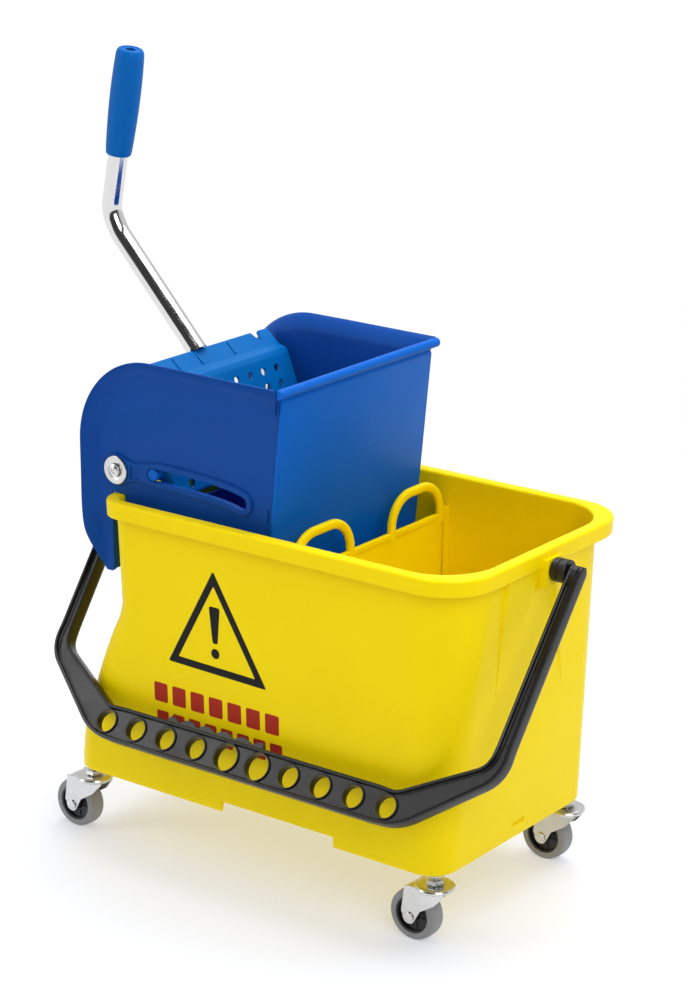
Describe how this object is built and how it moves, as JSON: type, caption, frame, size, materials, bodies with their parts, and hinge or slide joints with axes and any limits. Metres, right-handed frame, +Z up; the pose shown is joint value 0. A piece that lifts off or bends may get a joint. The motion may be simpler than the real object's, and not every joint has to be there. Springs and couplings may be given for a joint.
{
  "type": "mop bucket with wringer",
  "caption": "Wheeled mop bucket with two compartments, a lift-out divider, a swinging carrying bail and a lever-operated press wringer hooked over one end of the rim.",
  "frame": {"origin": "on the floor, below the middle of the bounding box", "axes": "+Z up, +X towards the end with the open clean-water compartment, +Y towards the far side, away from the resting carrying bail"},
  "size_m": [0.5624, 0.3052, 0.7648],
  "materials": {
    "yellow_plastic": "moulded, satin gloss",
    "dark_blue_plastic": "moulded, fine texture",
    "blue_plastic": "moulded, satin gloss",
    "light_blue_plastic": "moulded, gloss",
    "grip_plastic": "moulded, fine texture",
    "black_plastic": "moulded, gloss",
    "grey_tyre": "smooth non-marking rubber",
    "chrome_steel": "bright chrome plate",
    "zinc_steel": "bright zinc plate"
  },
  "bodies": {
    "base": {"bucket": "yellow_plastic", "bail_pin_left": "black_plastic", "bail_pin_right": "black_plastic", "bail_spacer_left": "black_plastic", "bail_spacer_right": "black_plastic", "caster_right_near_stem": "zinc_steel", "caster_right_far_stem": "zinc_steel", "caster_left_near_stem": "zinc_steel", "caster_left_far_stem": "zinc_steel"},
    "bail": {"bail_handle": "black_plastic"},
    "divider_plate": {"divider": "yellow_plastic"},
    "wringer_basket": {"wringer_side_near": "dark_blue_plastic", "wringer_side_far": "dark_blue_plastic", "wringer_front_panel": "blue_plastic", "wringer_drain_floor": "dark_blue_plastic", "wringer_back_panel": "dark_blue_plastic", "pivot_screw_near": "zinc_steel", "pivot_screw_far": "zinc_steel", "pivot_washer_near": "zinc_steel", "pivot_washer_far": "zinc_steel", "pivot_sleeve_near": "blue_plastic", "pivot_sleeve_far": "blue_plastic"},
    "links": {"press_link_near": "zinc_steel", "press_link_far": "zinc_steel"},
    "jaw_and_lever": {"press_jaw": "light_blue_plastic", "jaw_hinge_rod": "zinc_steel", "guide_pin_near": "blue_plastic", "guide_pin_far": "blue_plastic", "lever_tube": "chrome_steel", "lever_bolt": "zinc_steel", "lever_grip": "grip_plastic"},
    "caster_right_near_swivel": {"caster_right_near_fork": "zinc_steel", "caster_right_near_axle": "zinc_steel"},
    "caster_right_near_wheel": {"caster_right_near_hub": "black_plastic", "caster_right_near_tyre": "grey_tyre"},
    "caster_right_far_swivel": {"caster_right_far_fork": "zinc_steel", "caster_right_far_axle": "zinc_steel"},
    "caster_right_far_wheel": {"caster_right_far_hub": "black_plastic", "caster_right_far_tyre": "grey_tyre"},
    "caster_left_near_swivel": {"caster_left_near_fork": "zinc_steel", "caster_left_near_axle": "zinc_steel"},
    "caster_left_near_wheel": {"caster_left_near_hub": "black_plastic", "caster_left_near_tyre": "grey_tyre"},
    "caster_left_far_swivel": {"caster_left_far_fork": "zinc_steel", "caster_left_far_axle": "zinc_steel"},
    "caster_left_far_wheel": {"caster_left_far_hub": "black_plastic", "caster_left_far_tyre": "grey_tyre"}
  },
  "joints": [
    {"name": "bail_swing", "type": "hinge", "parent": "base", "child": "bail", "pos_m": [0.01123, 0.01286, 0.34188], "axis": [-1, 0, 0], "range_deg": [0, 132]},
    {"name": "divider_lift", "type": "slide", "parent": "base", "child": "divider_plate", "axis": [0, 0, 1], "range_m": [0, 0.19]},
    {"name": "wringer_lift", "type": "slide", "parent": "base", "child": "wringer_basket", "axis": [0, 0, 1], "range_m": [0, 0.066]},
    {"name": "link_swing", "type": "hinge", "parent": "wringer_basket", "child": "links", "pos_m": [-0.17027, 0.01286, 0.38488], "axis": [0, 1, 0], "range_deg": [0, 58.47]},
    {"name": "jaw_swing", "type": "hinge", "parent": "links", "child": "jaw_and_lever", "pos_m": [-0.15027, 0.01286, 0.45988], "axis": [0, 1, 0], "range_deg": [-110.2, 0]},
    {"name": "caster_right_near_turn", "type": "hinge", "parent": "base", "child": "caster_right_near_swivel", "pos_m": [0.20073, -0.09614, 0.05888], "axis": [0, 0, 1], "continuous": true},
    {"name": "caster_right_near_roll", "type": "hinge", "parent": "caster_right_near_swivel", "child": "caster_right_near_wheel", "pos_m": [0.18023, -0.09614, 0.02488], "axis": [0, 1, 0], "continuous": true},
    {"name": "caster_right_far_turn", "type": "hinge", "parent": "base", "child": "caster_right_far_swivel", "pos_m": [0.20073, 0.12186, 0.05888], "axis": [0, 0, 1], "continuous": true},
    {"name": "caster_right_far_roll", "type": "hinge", "parent": "caster_right_far_swivel", "child": "caster_right_far_wheel", "pos_m": [0.18023, 0.12186, 0.02488], "axis": [0, 1, 0], "continuous": true},
    {"name": "caster_left_near_turn", "type": "hinge", "parent": "base", "child": "caster_left_near_swivel", "pos_m": [-0.21527, -0.09614, 0.05888], "axis": [0, 0, 1], "continuous": true},
    {"name": "caster_left_near_roll", "type": "hinge", "parent": "caster_left_near_swivel", "child": "caster_left_near_wheel", "pos_m": [-0.23577, -0.09614, 0.02488], "axis": [0, 1, 0], "continuous": true},
    {"name": "caster_left_far_turn", "type": "hinge", "parent": "base", "child": "caster_left_far_swivel", "pos_m": [-0.21527, 0.12186, 0.05888], "axis": [0, 0, 1], "continuous": true},
    {"name": "caster_left_far_roll", "type": "hinge", "parent": "caster_left_far_swivel", "child": "caster_left_far_wheel", "pos_m": [-0.23577, 0.12186, 0.02488], "axis": [0, 1, 0], "continuous": true}
  ],
  "couplings": [
    {"joint": "link_swing", "follows": "jaw_swing", "ratio": -0.5305}
  ]
}
